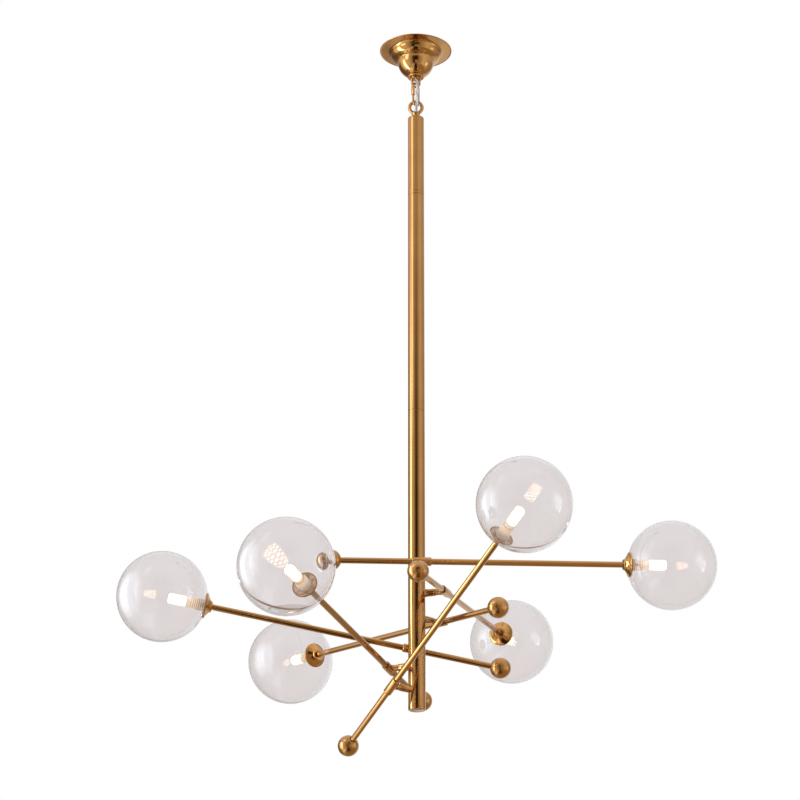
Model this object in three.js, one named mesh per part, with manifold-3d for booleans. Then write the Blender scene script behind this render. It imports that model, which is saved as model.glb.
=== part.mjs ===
// Branch chandelier: six straight rods, each with a clear glass globe at one end and a brass ball at
// the other, tilt on short stubs that climb a hanging brass column like a spiral stair.
// Millimetres, +Z up. The origin is on the ceiling, at the centre of the canopy's rim.
import * as THREE from "three";
import { mergeVertices } from "three/addons/utils/BufferGeometryUtils.js";
import Module from "manifold-3d";

const wasm = await Module();
wasm.setup();

// Clearances
const seatGap = 0.3;
const boreGap = 0.3;
const pivotGap = 0.25;
const cutOverrun = 3;

// Canopy, a spun shell: flat flange, shallow cup and a half-round dome under it
const rimRadius = 64.4;
const canopyWall = 1.2;
const flangeDrop = 2.2;
const cupRadius = 45.2;
const cupCove = 2.6;
const cupFootRadius = 34.6;
const cupHeight = 18.4;
const domeRadius = 32.5;
const domeLip = 0.9;
const domeFlatRadius = 13;

// Ceiling crossbar
const crossbarLength = 84;
const crossbarWidth = 16;
const crossbarThickness = 2.5;
const slotLength = 12;
const slotWidth = 4.6;
const slotReach = 29;

// Screw collar that holds the canopy up
const collarRadius = 14.5;
const collarThickness = 2.9;
const collarRound = 0.9;

// Hanging loop: hollow threaded stem, boss and a narrow bail
const stemRadius = 5;
const stemBoreRadius = 3.1;
const bossRadius = 9.2;
const bossThickness = 2.2;
const bailWireRadius = 2.2;
const bailHalfWidth = 6.5;
const bailDrop = 17.5;

// Quick link between the two loops
const linkWireRadius = 2.1;
const linkHeight = 47.3;
const linkHalfWidth = 8.2;
const linkTurn = 36;
const linkRest = 1.6;
const eyeRest = 1.3;
const linkNutLength = 16.5;
const linkNutFlats = 6.4;
const linkNutRise = 4;

// Eye on top of the column
const eyeRingRadius = 11.1;
const eyeWireRadius = 3.2;
const eyeNeckRadius = 7.8;
const eyeNeckLength = 9.6;
const eyeBoreRadius = 3.1;
const eyeCapHeight = 2.4;
const eyeCapEdge = 0.5;
const spigotLength = 14;

// Column tubes
const columnRadius = 14.25;
const columnWall = 1.25;
const upperTubeLength = 151;
const middleTubeLength = 405;
const lowerTubeLength = 515.5;
const couplingBand = 5.2;
const grooveDepth = 0.35;
const grooveWidth = 0.7;
const endCapHeight = 4.6;
const endCapRound = 1.3;

// Spiral of arms
const armCount = 6;
const firstArmTurn = 8.4;
const armTurnStep = 60;
const armTurnTrims = [0.5, 4.1, -0.3, -0.2, 0.1, -5];
const armTilts = [1.9, 3.7, 3.3, 10, 7.2, 29];
const armRise = 40.9;
const lastArmRise = 29;

// Stub, the fixed half of a tilting joint
const stubRootRadius = 6.5;
const stubTipRadius = 5.9;
const stubReach = 32.4;
const stubTailRadius = 4;
const stubTailLength = 4;
const wireBoreRadius = 2.2;

// Knuckle, the tilting half: sleeve, neck and pivot
const rodReach = 48.6;
const sleeveLength = 32.5;
const sleeveRadius = 7.15;
const sleeveChamfer = 0.8;
const neckRadius = 5.2;
const pivotRadius = 3.6;
const pivotLength = 10;

// Rod and its ball
const rodRadius = 5;
const rodWall = 1.2;
const ballRadius = 17.5;
const ballReach = 150.4;
const ballBoreDepth = 6;

// Glass globe
const globeRadius = 75;
const globeWall = 2.2;
const globeReach = 424;

// Socket cup, lamp holder and bulb, along the rod behind the globe
const cupLipRadius = 21.3;
const cupLipThickness = 2.4;
const cupLipLand = 2.6;
const cupDepth = 11.8;
const cupNeckRadius = 9.2;
const cupNeckRound = 1;
const cupBackWall = 3.7;
const holderRadius = 10.6;
const holderTaper = 2.2;
const holderNoseRadius = 9.2;
const holderShellReach = 57;
const holderNoseReach = 48.3;
const bulbRadius = 8.4;
const bulbBaseRadius = 7.8;
const bulbBaseLength = 6;
const bulbTipReach = 10.5;
const bulbTipRound = 3;

// Supply cable, threaded through the stem, past the link and into the column
const cableRadius = 2.6;
const cableRoute = [
  [0, 0, -1.5],
  [0, 0, -30],
  [0, 0, -50],
  [0, 0, -56.8],
  [0.9, -2.5, -61.5],
  [2.1, -6, -66],
  [2.5, -8, -73],
  [2.4, -8.3, -84],
  [2.2, -8.3, -96],
  [1.9, -7.9, -104],
  [1.4, -6.4, -111],
  [0.5, -3.1, -117.5],
  [0, -0.4, -122],
  [0, 0, -126],
  [0, 0, -132],
  [0, 0, -145],
  [0, 0, -164],
];

// Facets
const canopySides = 24;
const canopySteps = 4;
const columnSides = 18;
const smallSides = 12;
const pivotSides = 10;
const wireBoreSides = 6;
const wireSides = 8;
const nutSides = 6;
const bendSteps = 8;
const globeSides = 16;
const globeSteps = 7;
const ballSides = 14;
const ballSteps = 6;
const socketSides = 14;
const cableSides = 6;
const cableSteps = 32;

// Heights, worked out downwards from the ceiling
const cupTopZ = -flangeDrop - canopyWall;
const domeTopZ = cupTopZ - cupHeight;
const domeBottomZ = domeTopZ - Math.sqrt(domeRadius ** 2 - domeFlatRadius ** 2);
const collarTopZ = domeBottomZ - seatGap;
const bossTopZ = collarTopZ - collarThickness - seatGap;
const bossBottomZ = bossTopZ - bossThickness;
const bailBottomZ = bossBottomZ - bailDrop;
const linkTopZ = bailBottomZ + 2 * bailWireRadius + linkRest + 2 * linkWireRadius;
const linkMiddleZ = linkTopZ - linkHeight / 2;
const linkBottomZ = linkTopZ - linkHeight;
const eyeHoleTopZ = linkBottomZ + 2 * linkWireRadius + eyeRest;
const eyeCentreZ = eyeHoleTopZ - (eyeRingRadius - eyeWireRadius);
const eyeNeckTopZ = eyeCentreZ - eyeRingRadius;
const eyeCapTopZ = eyeNeckTopZ - eyeNeckLength;
const columnTopZ = eyeCapTopZ - eyeCapHeight - seatGap;
const upperTubeEndZ = columnTopZ - upperTubeLength;
const middleTubeEndZ = upperTubeEndZ - middleTubeLength;
const lowerTubeEndZ = middleTubeEndZ - lowerTubeLength;
const columnBoreRadius = columnRadius - columnWall;
const spigotRadius = columnBoreRadius - boreGap;

// Stations along a rod, counted from its knuckle towards the globe
function glassX(skinRadius, ringRadius) {
  return globeReach - Math.sqrt(skinRadius ** 2 - ringRadius ** 2);
}

const cupLipFaceX = glassX(globeRadius, cupLipRadius) - seatGap;
const cupLandFaceX = glassX(globeRadius, cupLipRadius - cupLipLand) - seatGap;
const cupBackX = cupLipFaceX - cupDepth;
const cupFloorX = cupBackX + cupBackWall;
const ballMouthX = -ballReach + Math.sqrt(ballRadius ** 2 - (rodRadius + boreGap) ** 2);
const ballFloorX = ballMouthX - ballBoreDepth;
const rodStartX = ballFloorX + seatGap;
const rodEndX = cupFloorX;

// Finishes
const satinBrass = { color: 0xb98a52, roughness: 0.32, metalness: 1 };
const polishedBrass = { color: 0xc28f4e, roughness: 0.14, metalness: 1 };
const zincSteel = { color: 0xb9bcc0, roughness: 0.45, metalness: 1 };
const clearGlass = { color: 0xf1f3f5, roughness: 0.03, metalness: 0, transparent: true, opacity: 0.25 };
const ceramic = { color: 0xf2efe8, roughness: 0.5, metalness: 0 };
const litBulb = { color: 0xfff4dc, roughness: 0.4, metalness: 0, emissive: 0xffe9c0 };
const clearSheath = { color: 0xd9dad8, roughness: 0.35, metalness: 0 };

// Solids and booleans
function solidOf(geometry) {
  const bare = geometry.clone();
  bare.deleteAttribute("normal");
  bare.deleteAttribute("uv");
  const merged = mergeVertices(bare);
  return new wasm.Manifold(
    new wasm.Mesh({
      numProp: 3,
      vertProperties: merged.attributes.position.array,
      triVerts: new Uint32Array(merged.index.array),
    }),
  );
}

function geometryOf(solid) {
  const mesh = solid.getMesh();
  const geometry = new THREE.BufferGeometry();
  geometry.setAttribute("position", new THREE.BufferAttribute(mesh.vertProperties, 3));
  geometry.setIndex(new THREE.BufferAttribute(mesh.triVerts, 1));
  const faceted = geometry.toNonIndexed();
  faceted.computeVertexNormals();
  return faceted;
}

// A solid turned about +Z from an outline of [radius, height] points
function turned(outline, sides) {
  const points = outline.map(([radius, height]) => new THREE.Vector2(radius, height));
  return solidOf(new THREE.LatheGeometry(points, sides).rotateX(Math.PI / 2));
}

function rod(radius, from, to, sides) {
  return turned([[0, from], [radius, from], [radius, to], [0, to]], sides);
}

function tube(radius, bore, from, to, sides) {
  return turned([[bore, from], [radius, from], [radius, to], [bore, to], [bore, from]], sides);
}

// Points of an arc in an outline, from one angle to another in degrees
function arc(centreRadius, centreHeight, radius, from, to, steps) {
  return Array.from({ length: steps + 1 }, (_, step) => {
    const angle = THREE.MathUtils.degToRad(from + ((to - from) * step) / steps);
    return [centreRadius + radius * Math.cos(angle), centreHeight + radius * Math.sin(angle)];
  });
}

// Points of a curve in an outline that leaves one point towards a bend and reaches another
function swoop(from, bend, to, steps) {
  const curve = new THREE.QuadraticBezierCurve(
    new THREE.Vector2(...from),
    new THREE.Vector2(...bend),
    new THREE.Vector2(...to),
  );
  return curve.getPoints(steps).map((point) => [point.x, point.y]);
}

// Round wire that follows stations in the XZ plane: each has its place and its outward direction
function wire(stations, radius, sides, closed) {
  const positions = [];
  const indices = [];
  for (const { x, z, outX, outZ } of stations) {
    for (let side = 0; side < sides; side += 1) {
      const angle = (2 * Math.PI * side) / sides;
      const outwards = radius * Math.cos(angle);
      positions.push(x + outX * outwards, radius * Math.sin(angle), z + outZ * outwards);
    }
  }
  const ringCount = stations.length;
  const spans = closed ? ringCount : ringCount - 1;
  for (let ring = 0; ring < spans; ring += 1) {
    const here = ring * sides;
    const there = ((ring + 1) % ringCount) * sides;
    for (let side = 0; side < sides; side += 1) {
      const next = (side + 1) % sides;
      indices.push(here + side, here + next, there + next);
      indices.push(here + side, there + next, there + side);
    }
  }
  if (!closed) {
    const last = (ringCount - 1) * sides;
    for (let side = 1; side < sides - 1; side += 1) {
      indices.push(0, side + 1, side);
      indices.push(last, last + side, last + side + 1);
    }
  }
  const geometry = new THREE.BufferGeometry();
  geometry.setAttribute("position", new THREE.Float32BufferAttribute(positions, 3));
  geometry.setIndex(indices);
  return solidOf(geometry);
}

// Stations round a bend of wire about a centre, from one angle to another in degrees
function bend(centreZ, radius, from, to, steps) {
  return Array.from({ length: steps + 1 }, (_, step) => {
    const angle = THREE.MathUtils.degToRad(from + ((to - from) * step) / steps);
    const outX = Math.cos(angle);
    const outZ = Math.sin(angle);
    return { x: radius * outX, z: centreZ + radius * outZ, outX, outZ };
  });
}

const chandelier = new THREE.Group();

function place(name, solid, finish, parent = chandelier) {
  const mesh = new THREE.Mesh(geometryOf(solid), new THREE.MeshStandardMaterial(finish));
  mesh.name = name;
  parent.add(mesh);
  return mesh;
}

// Canopy
function canopySkin(inset) {
  const flangeZ = inset - canopyWall;
  const rootZ = cupTopZ + inset;
  const wallRadius = cupRadius - inset;
  const footZ = domeTopZ + domeLip + inset;
  const innerDome = domeRadius - inset;
  const flatZ = domeBottomZ + inset;
  const flatAngle = THREE.MathUtils.radToDeg(Math.asin((flatZ - domeTopZ) / innerDome));
  const coveBottom = [wallRadius, rootZ - cupCove];
  return [
    [rimRadius, flangeZ],
    ...swoop([cupRadius + cupCove, rootZ], [wallRadius, rootZ], coveBottom, 2),
    ...swoop(coveBottom, [wallRadius, (coveBottom[1] + footZ) / 2], [cupFootRadius - inset, footZ], 3).slice(1),
    [innerDome, footZ],
    ...arc(0, domeTopZ, innerDome, 0, flatAngle, canopySteps),
    [stemRadius + boreGap, flatZ],
  ];
}

function canopy() {
  const outside = canopySkin(0);
  const inside = canopySkin(canopyWall);
  return turned([...inside, ...outside.reverse(), inside[0]], canopySides);
}

// Ceiling crossbar: a bar with round ends, a middle hole for the stem and two screw slots
function roundEndedBar(length, width, centreX) {
  const straight = length / 2 - width / 2;
  const outline = new THREE.Path();
  outline.absarc(centreX + straight, 0, width / 2, -Math.PI / 2, Math.PI / 2);
  outline.absarc(centreX - straight, 0, width / 2, Math.PI / 2, (3 * Math.PI) / 2);
  outline.closePath();
  return outline;
}

function crossbar() {
  const outline = roundEndedBar(crossbarLength, crossbarWidth, 0);
  const bar = new THREE.Shape(outline.getPoints(4));
  const stemHole = new THREE.Path().absarc(0, 0, stemRadius + boreGap, 0, 2 * Math.PI);
  bar.holes.push(new THREE.Path(stemHole.getPoints(smallSides)));
  for (const side of [-1, 1]) {
    bar.holes.push(new THREE.Path(roundEndedBar(slotLength, slotWidth, side * slotReach).getPoints(2)));
  }
  const plate = new THREE.ExtrudeGeometry(bar, { depth: crossbarThickness, bevelEnabled: false });
  return solidOf(plate.translate(0, 0, -crossbarThickness));
}

// Screw collar
function collar() {
  const bottomZ = collarTopZ - collarThickness;
  const hole = stemRadius + boreGap;
  return turned(
    [
      [hole, bottomZ],
      [collarRadius - collarRound, bottomZ],
      [collarRadius, bottomZ + collarRound],
      [collarRadius, collarTopZ - collarRound / 2],
      [collarRadius - collarRound / 2, collarTopZ],
      [hole, collarTopZ],
      [hole, bottomZ],
    ],
    canopySides,
  );
}

// Hanging loop
function hangingLoop() {
  const boss = rod(bossRadius, bossBottomZ, bossTopZ, columnSides);
  const stem = rod(stemRadius, bossTopZ - bossThickness / 2, -seatGap, smallSides);
  const bore = rod(stemBoreRadius, bossBottomZ - cutOverrun, cutOverrun, smallSides);
  const bendZ = bailBottomZ + bailWireRadius + bailHalfWidth;
  const legTopZ = bossBottomZ + bossThickness / 2;
  const stations = [
    { x: -bailHalfWidth, z: legTopZ, outX: -1, outZ: 0 },
    ...bend(bendZ, bailHalfWidth, -180, 0, bendSteps),
    { x: bailHalfWidth, z: legTopZ, outX: 1, outZ: 0 },
  ];
  const bail = wire(stations, bailWireRadius, wireSides, false);
  return boss.add(stem).subtract(bore).add(bail);
}

// Quick link: an oval of round wire, and the hexagon nut that closes it
function quickLink() {
  const bendRise = linkHeight / 2 - linkWireRadius - linkHalfWidth;
  const stations = [
    ...bend(linkMiddleZ + bendRise, linkHalfWidth, 0, 180, bendSteps),
    ...bend(linkMiddleZ - bendRise, linkHalfWidth, 180, 360, bendSteps),
  ];
  return wire(stations, linkWireRadius, wireSides, true);
}

function linkNut() {
  const middleZ = linkMiddleZ + linkNutRise;
  const cornerRadius = linkNutFlats / 2 / Math.cos(Math.PI / nutSides);
  const body = rod(cornerRadius, middleZ - linkNutLength / 2, middleZ + linkNutLength / 2, nutSides);
  const bore = rod(linkWireRadius + boreGap, middleZ - linkNutLength, middleZ + linkNutLength, smallSides);
  return body.subtract(bore).translate([-linkHalfWidth, 0, 0]);
}

// Eye with its neck, cap and the spigot that screws into the upper tube
function eye() {
  const ring = new THREE.TorusGeometry(eyeRingRadius, eyeWireRadius, wireSides, 2 * bendSteps);
  const capBottomZ = eyeCapTopZ - eyeCapHeight;
  const stand = turned(
    [
      [0, eyeNeckTopZ],
      [eyeNeckRadius, eyeNeckTopZ],
      [eyeNeckRadius, eyeCapTopZ],
      [columnRadius - eyeCapEdge, capBottomZ + eyeCapEdge],
      [columnRadius, capBottomZ],
      [spigotRadius, capBottomZ],
      [spigotRadius, capBottomZ - spigotLength],
      [0, capBottomZ - spigotLength],
    ].reverse(),
    columnSides,
  );
  const bore = rod(eyeBoreRadius, capBottomZ - spigotLength - cutOverrun, eyeCentreZ, smallSides);
  return solidOf(ring.rotateX(Math.PI / 2))
    .translate([0, 0, eyeCentreZ])
    .add(stand)
    .subtract(bore);
}

// Column tubes: a groove marks the coupling band, and a spigot joins each tube to the next
function groove(middleZ) {
  return [
    [columnRadius, middleZ - grooveWidth / 2],
    [columnRadius - grooveDepth, middleZ],
    [columnRadius, middleZ + grooveWidth / 2],
  ];
}

function spigotTube(topZ, bottomZ, grooves) {
  const boreRadius = spigotRadius - columnWall;
  return turned(
    [
      [boreRadius, bottomZ - spigotLength],
      [spigotRadius, bottomZ - spigotLength],
      [spigotRadius, bottomZ],
      [columnRadius, bottomZ],
      ...grooves,
      [columnRadius, topZ],
      [columnBoreRadius, topZ],
      [columnBoreRadius, topZ - 2 * spigotLength],
      [boreRadius, topZ - 2 * spigotLength - columnWall],
      [boreRadius, bottomZ - spigotLength],
    ],
    columnSides,
  );
}

function lowerTube(stations) {
  const holeRadius = stubTailRadius + boreGap;
  const from = columnBoreRadius - stubTailLength;
  const drill = rod(holeRadius, from, columnRadius + cutOverrun, pivotSides).rotate([90, 0, 0]);
  const shell = tube(columnRadius, columnBoreRadius, lowerTubeEndZ, middleTubeEndZ - seatGap, columnSides);
  return stations.reduce(
    (pipe, { turn, z }) => pipe.subtract(drill.rotate([0, 0, turn]).translate([0, 0, z])),
    shell,
  );
}

function endCap() {
  const topZ = lowerTubeEndZ - seatGap;
  const bottomZ = topZ - endCapHeight;
  return turned(
    [
      [0, bottomZ],
      ...arc(columnRadius - endCapRound, bottomZ + endCapRound, endCapRound, -90, 0, 2),
      [columnRadius, topZ],
      [spigotRadius, topZ],
      [spigotRadius, topZ + spigotLength],
      [0, topZ + spigotLength],
    ],
    columnSides,
  );
}

// Supply cable
function supplyCable() {
  const route = new THREE.CatmullRomCurve3(cableRoute.map((point) => new THREE.Vector3(...point)));
  const section = new THREE.Shape(
    Array.from({ length: cableSides }, (_, side) => {
      const angle = (2 * Math.PI * side) / cableSides;
      return new THREE.Vector2(cableRadius * Math.cos(angle), cableRadius * Math.sin(angle));
    }),
  );
  return solidOf(new THREE.ExtrudeGeometry(section, { steps: cableSteps, extrudePath: route }));
}

// Stub, made along +Z as the distance from the column's axis
function stub() {
  const tailStart = columnBoreRadius - stubTailLength;
  const socketStart = stubReach - pivotLength - seatGap;
  const column = rod(columnRadius + seatGap, -rodReach, rodReach, columnSides).rotate([90, 0, 0]);
  const body = turned(
    [
      [0, columnBoreRadius],
      [stubRootRadius, columnBoreRadius],
      [stubRootRadius, columnRadius + seatGap],
      [stubTipRadius, stubReach],
      [0, stubReach],
    ],
    smallSides,
  );
  return body
    .subtract(column)
    .add(rod(stubTailRadius, tailStart, stubReach - pivotLength, pivotSides))
    .subtract(rod(wireBoreRadius, tailStart - cutOverrun, stubReach, wireBoreSides))
    .subtract(rod(pivotRadius + pivotGap, socketStart, stubReach + cutOverrun, pivotSides));
}

// Knuckle: its sleeve lies along X, its neck and pivot along +Y towards the column
function knuckle() {
  const neckEnd = rodReach - stubReach - seatGap;
  const half = sleeveLength / 2;
  const sleeve = turned(
    [
      [0, -half],
      [sleeveRadius - sleeveChamfer, -half],
      [sleeveRadius, sleeveChamfer - half],
      [sleeveRadius, half - sleeveChamfer],
      [sleeveRadius - sleeveChamfer, half],
      [0, half],
    ],
    smallSides,
  ).rotate([0, 90, 0]);
  const neck = rod(neckRadius, 0, neckEnd, smallSides);
  const pivot = rod(pivotRadius, 0, neckEnd + pivotLength, pivotSides);
  const wireBore = rod(wireBoreRadius, 0, neckEnd + pivotLength + cutOverrun, wireBoreSides);
  const shaft = neck.add(pivot).subtract(wireBore).rotate([-90, 0, 0]);
  const bore = rod(rodRadius + boreGap, -sleeveLength, sleeveLength, smallSides).rotate([0, 90, 0]);
  return sleeve.add(shaft).subtract(bore);
}

// Pieces along the rod are turned about +Z and laid along +X
function alongRod(solid) {
  return solid.rotate([0, 90, 0]);
}

function armRod() {
  return alongRod(tube(rodRadius, rodRadius - rodWall, rodStartX, rodEndX, smallSides));
}

function ball() {
  const bore = rodRadius + boreGap;
  const mouthAngle = THREE.MathUtils.radToDeg(Math.acos(bore / ballRadius));
  const outline = [
    ...arc(0, -ballReach, ballRadius, -90, mouthAngle, ballSteps),
    [bore, ballFloorX],
    [0, ballFloorX],
  ];
  return alongRod(turned(outline, ballSides));
}

function socketCup() {
  const bore = rodRadius + boreGap;
  const lipBackX = cupLipFaceX - cupLipThickness;
  const landRadius = cupLipRadius - cupLipLand;
  const throat = [cupNeckRadius, cupBackX + cupNeckRound];
  const outline = [
    [bore, cupBackX],
    [cupNeckRadius - cupNeckRound, cupBackX],
    ...swoop(throat, [(cupNeckRadius + landRadius) / 2, lipBackX - cupNeckRound], [landRadius, lipBackX], 2),
    [cupLipRadius, lipBackX + cupNeckRound / 2],
    [cupLipRadius, cupLipFaceX],
    [landRadius, cupLandFaceX],
    [cupNeckRadius, cupFloorX],
    [bore, cupFloorX],
    [bore, cupBackX],
  ];
  return alongRod(turned(outline, socketSides));
}

function lampHolder() {
  const backX = cupFloorX + seatGap;
  const shellEndX = globeReach - holderShellReach;
  const noseEndX = globeReach - holderNoseReach;
  const outline = [
    [0, backX],
    [holderRadius - holderTaper, backX],
    [holderRadius, backX + holderTaper],
    [holderRadius, shellEndX],
    [holderNoseRadius, shellEndX],
    [holderNoseRadius, noseEndX],
    [0, noseEndX],
  ];
  return alongRod(turned(outline, socketSides));
}

function bulb() {
  const baseX = globeReach - holderNoseReach + seatGap;
  const tipX = globeReach - bulbTipReach;
  const outline = [
    [0, baseX],
    [bulbBaseRadius, baseX],
    [bulbBaseRadius, baseX + bulbBaseLength],
    [bulbRadius, baseX + bulbBaseLength],
    ...arc(bulbRadius - bulbTipRound, tipX - bulbTipRound, bulbTipRound, 0, 90, 2),
    [0, tipX],
  ];
  return alongRod(turned(outline, smallSides));
}

// Globe: one skin of the glass, from the mouth past the edge of the cup and round to the far end
function globeSkin(skinRadius) {
  const mouthRadius = holderRadius + boreGap;
  const edgeAngle = -THREE.MathUtils.radToDeg(Math.acos(cupLipRadius / skinRadius));
  return [
    [mouthRadius, glassX(skinRadius, mouthRadius)],
    ...arc(0, globeReach, skinRadius, edgeAngle, 90, globeSteps),
  ];
}

function globe() {
  const inside = globeSkin(globeRadius - globeWall);
  const outside = globeSkin(globeRadius);
  return alongRod(turned([...inside.reverse(), ...outside], globeSides));
}

// Arm stations round the column
const stations = Array.from({ length: armCount }, (_, index) => ({
  number: index + 1,
  turn: firstArmTurn + armTurnStep * index + armTurnTrims[index],
  tilt: armTilts[index],
  z: lowerTubeEndZ + lastArmRise + armRise * (armCount - 1 - index),
}));

// Hanging gear and column
place("mounting_crossbar", crossbar(), zincSteel);
place("canopy", canopy(), polishedBrass);
place("screw_collar", collar(), polishedBrass);
place("hanging_loop", hangingLoop(), polishedBrass);
const linkGroup = new THREE.Group();
linkGroup.rotation.z = THREE.MathUtils.degToRad(90 - linkTurn);
chandelier.add(linkGroup);
place("quick_link", quickLink(), polishedBrass, linkGroup);
place("link_nut", linkNut(), polishedBrass, linkGroup);
place("column_eye", eye(), polishedBrass);
const bandGroove = groove(upperTubeEndZ + couplingBand);
place("tube_upper", spigotTube(columnTopZ, upperTubeEndZ, bandGroove), satinBrass);
place("tube_middle", spigotTube(upperTubeEndZ - seatGap, middleTubeEndZ, []), satinBrass);
place("tube_lower", lowerTube(stations), satinBrass);
place("end_cap", endCap(), satinBrass);
place("supply_cable", supplyCable(), clearSheath);

// Arms: the stub stays on the column, and the rest of the arm tilts about the stub
for (const { number, turn, tilt, z } of stations) {
  const station = new THREE.Group();
  station.position.z = z;
  station.rotation.z = THREE.MathUtils.degToRad(turn);
  chandelier.add(station);
  place(`stub_${number}`, stub().rotate([90, 0, 0]), satinBrass, station);
  const arm = new THREE.Group();
  arm.position.y = -rodReach;
  arm.rotation.y = -THREE.MathUtils.degToRad(tilt);
  station.add(arm);
  place(`knuckle_${number}`, knuckle(), satinBrass, arm);
  place(`rod_${number}`, armRod(), satinBrass, arm);
  place(`ball_${number}`, ball(), polishedBrass, arm);
  place(`socket_cup_${number}`, socketCup(), polishedBrass, arm);
  place(`lamp_holder_${number}`, lampHolder(), ceramic, arm);
  place(`bulb_${number}`, bulb(), litBulb, arm);
  place(`globe_${number}`, globe(), clearGlass, arm);
}

export default chandelier;
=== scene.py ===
import math
import bpy
from mathutils import Matrix, Vector


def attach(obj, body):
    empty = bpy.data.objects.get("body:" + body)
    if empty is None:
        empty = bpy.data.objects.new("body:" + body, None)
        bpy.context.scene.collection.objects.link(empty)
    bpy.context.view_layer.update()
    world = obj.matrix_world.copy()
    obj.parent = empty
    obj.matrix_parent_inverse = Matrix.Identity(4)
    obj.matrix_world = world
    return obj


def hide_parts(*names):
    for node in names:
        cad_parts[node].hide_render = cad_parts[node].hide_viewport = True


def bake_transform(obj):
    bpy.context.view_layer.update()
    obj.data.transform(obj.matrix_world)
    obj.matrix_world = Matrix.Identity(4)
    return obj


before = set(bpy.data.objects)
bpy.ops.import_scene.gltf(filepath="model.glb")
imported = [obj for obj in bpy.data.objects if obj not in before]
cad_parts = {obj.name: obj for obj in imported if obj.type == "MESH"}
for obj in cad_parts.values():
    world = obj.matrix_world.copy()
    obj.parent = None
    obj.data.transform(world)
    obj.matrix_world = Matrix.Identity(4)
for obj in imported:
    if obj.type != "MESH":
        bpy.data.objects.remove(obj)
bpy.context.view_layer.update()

# Camera
# It stands about four metres in front of the column and a little to its left, near the floor,
# and is tilted up by 21 degrees, so that the foot of the column shows its flat underside.
mm = 0.001
viewpoint = Vector((-27.9, -4064.7, -2242.4)) * mm
pitch, roll = math.radians(111.116), math.radians(0.035)
camera = bpy.data.objects.new("camera", bpy.data.cameras.new("camera"))
camera.data.lens = 115.12
camera.data.sensor_width = 36
camera.data.clip_start = 0.1
camera.data.clip_end = 60
camera.matrix_world = (
    Matrix.Translation(viewpoint) @ Matrix.Rotation(pitch, 4, "X") @ Matrix.Rotation(roll, 4, "Z")
)
bpy.context.scene.collection.objects.link(camera)
bpy.context.scene.camera = camera
bpy.context.scene.view_settings.view_transform = "Standard"

# Supply cable
# Two twisted conductors in a clear flexible sheath, 5.2 mm thick. It comes out of the threaded
# stem, hangs past the near side of the quick link and goes down into the neck of the column's eye.
cable_radius = 2.6 * mm
strands, twist_per_metre = 2, 260.0
split_height = -90 * mm
cable_points = [
    (0, 0, -50), (0, 0, -56.8), (0.9, -2.5, -61.5), (2.1, -6, -66), (2.5, -8, -73),
    (2.4, -8.3, -84), (2.2, -8.3, -96), (1.9, -7.9, -104), (1.4, -6.4, -111), (0.5, -3.1, -117.5),
    (0, -0.4, -122), (0, 0, -126), (0, 0, -132), (0, 0, -145),
]
crease_angle = math.radians(38)


def flowing_line(points, steps):
    """A smooth line through the points, with some steps between each two."""
    spots = [Vector(point) * mm for point in points]
    spots = [2 * spots[0] - spots[1]] + spots + [2 * spots[-1] - spots[-2]]
    line = []
    for a, b, c, d in zip(spots, spots[1:], spots[2:], spots[3:]):
        for step in range(steps):
            t = step / steps
            line.append(
                0.5 * (2 * b + (c - a) * t + (2 * a - 5 * b + 4 * c - d) * t**2
                       + (3 * b - a - 3 * c + d) * t**3)
            )
    return line + [spots[-2]]


def new_piece(name, corners, faces, finish, marks=None):
    """An object with smooth faces and crisp edges, in its finish."""
    mesh = bpy.data.meshes.new(name)
    mesh.from_pydata(corners, [], faces)
    if marks:
        layer = mesh.uv_layers.new(name="along")
        for face, spots in zip(mesh.polygons, marks):
            for loop, spot in zip(face.loop_indices, spots):
                layer.data[loop].uv = spot
    mesh.polygons.foreach_set("use_smooth", [True] * len(faces))
    mesh.set_sharp_from_angle(angle=crease_angle)
    mesh.materials.append(finish)
    piece = bpy.data.objects.new(name, mesh)
    bpy.context.scene.collection.objects.link(piece)
    return piece


def bent_wire(name, line, radius, finish, sides=28, closed=False):
    """Round wire bent along a line, with its length and turn kept as marks for the finish."""
    count = len(line)
    tangents = []
    for i, spot in enumerate(line):
        before = line[i - 1] if closed or i else spot
        after = line[(i + 1) % count] if closed or i + 1 < count else spot
        tangents.append((after - before).normalized())
    side = tangents[0].orthogonal().normalized()
    corners, lengths, run = [], [], 0
    for i, (spot, tangent) in enumerate(zip(line, tangents)):
        side = (side - tangent * side.dot(tangent)).normalized()
        other = tangent.cross(side)
        run += (spot - line[i - 1]).length if i else 0
        lengths.append(run)
        for s in range(sides):
            angle = 2 * math.pi * s / sides
            corners.append(spot + radius * (math.cos(angle) * side + math.sin(angle) * other))
    faces, marks = [], []
    for i in range(count if closed else count - 1):
        j = (i + 1) % count
        here, there = lengths[i], lengths[min(i + 1, count - 1)]
        for s in range(sides):
            t = (s + 1) % sides
            faces.append((i * sides + s, i * sides + t, j * sides + t, j * sides + s))
            marks.append(((s / sides, here), ((s + 1) / sides, here),
                          ((s + 1) / sides, there), (s / sides, there)))
    if not closed:
        for ring, order in ((0, -1), (count - 1, 1)):
            faces.append([ring * sides + s for s in range(sides)][::order])
            marks.append([(0, lengths[ring])] * sides)
    return new_piece(name, corners, faces, finish, marks)


def node_adder(tree):
    """A short way to add shader nodes: inputs go in by name, or as i0, i1 by their place."""

    def add(kind, settings=None, **inputs):
        node = tree.nodes.new("ShaderNode" + kind)
        for key, value in (settings or {}).items():
            setattr(node, key, value)
        for key, value in inputs.items():
            by_place = key[0] == "i" and key[1:].isdigit()
            socket = node.inputs[int(key[1:]) if by_place else key.replace("_", " ")]
            if isinstance(value, bpy.types.NodeSocket):
                tree.links.new(value, socket)
            else:
                socket.default_value = value
        return node

    return add


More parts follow.
